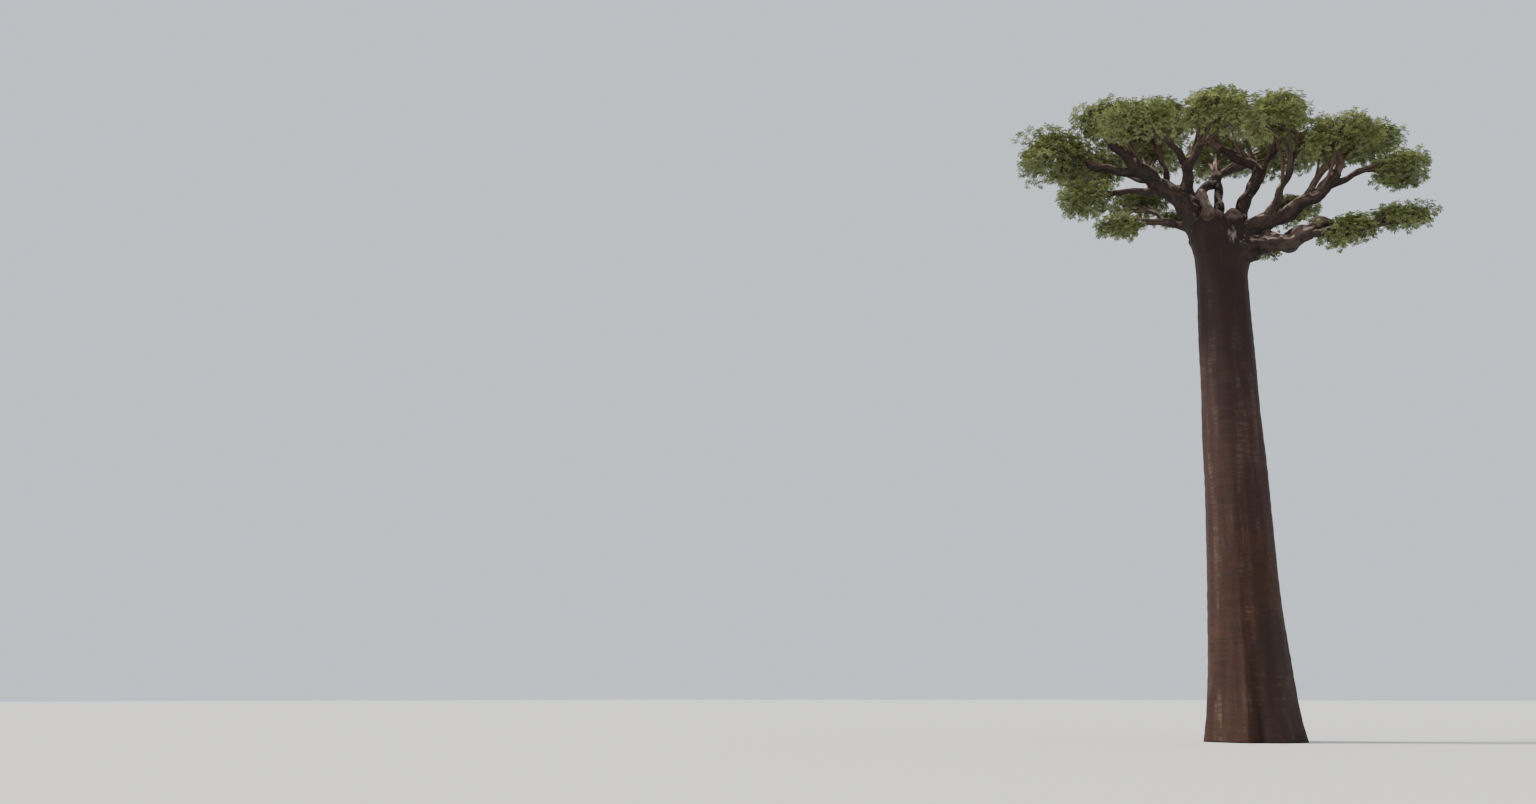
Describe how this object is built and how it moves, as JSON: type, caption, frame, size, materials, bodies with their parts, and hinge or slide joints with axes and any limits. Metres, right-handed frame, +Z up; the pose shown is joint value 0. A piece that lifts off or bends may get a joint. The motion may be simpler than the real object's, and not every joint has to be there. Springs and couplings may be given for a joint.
{
  "type": "baobab tree",
  "caption": "Tall baobab tree with a smooth tapering trunk, heavy boughs that fork at its head, and a flat spreading crown of leafy twigs.",
  "frame": {"origin": "middle of the flat cut under the trunk, at ground level", "axes": "+Z up; +X to the right and -Y towards the viewer who looks at the tree's front"},
  "size_m": [14.9044, 11.0867, 23.841],
  "materials": {
    "bark": "dull reddish brown bark",
    "leaves": "olive green leaves on thin brown twigs"
  },
  "bodies": {
    "root": {"trunk": "bark", "bough_left_rise": "bark", "bough_right_rise": "bark", "bough_right_low": "bark", "bough_crown": "bark", "bough_crown_bend": "bark", "bough_front": "bark", "bough_back_right": "bark", "bough_back_right_bend": "bark", "bough_back": "bark", "bough_back_left": "bark", "bough_left_tip": "bark", "bough_left_low": "bark", "bough_left_back": "bark", "bough_crown_left": "bark", "bough_front_left": "bark", "bough_front_right": "bark", "bough_crown_right": "bark", "bough_right_back": "bark", "bough_right_tip": "bark", "bough_right_low_tip": "bark", "bough_right_back_low": "bark", "bough_right_foot": "bark", "bough_left_foot": "bark", "bough_left_under": "bark", "bough_left_spray": "bark", "bough_stub": "bark", "foliage_left_rise": "leaves", "foliage_right_rise": "leaves", "foliage_right_low": "leaves", "foliage_crown": "leaves", "foliage_front": "leaves", "foliage_back_right": "leaves", "foliage_back": "leaves", "foliage_back_left": "leaves", "foliage_left_tip": "leaves", "foliage_left_low": "leaves", "foliage_left_back": "leaves", "foliage_crown_left": "leaves", "foliage_front_left": "leaves", "foliage_front_right": "leaves", "foliage_crown_right": "leaves", "foliage_right_back": "leaves", "foliage_right_tip": "leaves", "foliage_right_low_tip": "leaves", "foliage_right_back_low": "leaves", "foliage_right_foot": "leaves", "foliage_left_foot": "leaves", "foliage_left_under": "leaves", "foliage_left_spray": "leaves"}
  },
  "joints": []
}
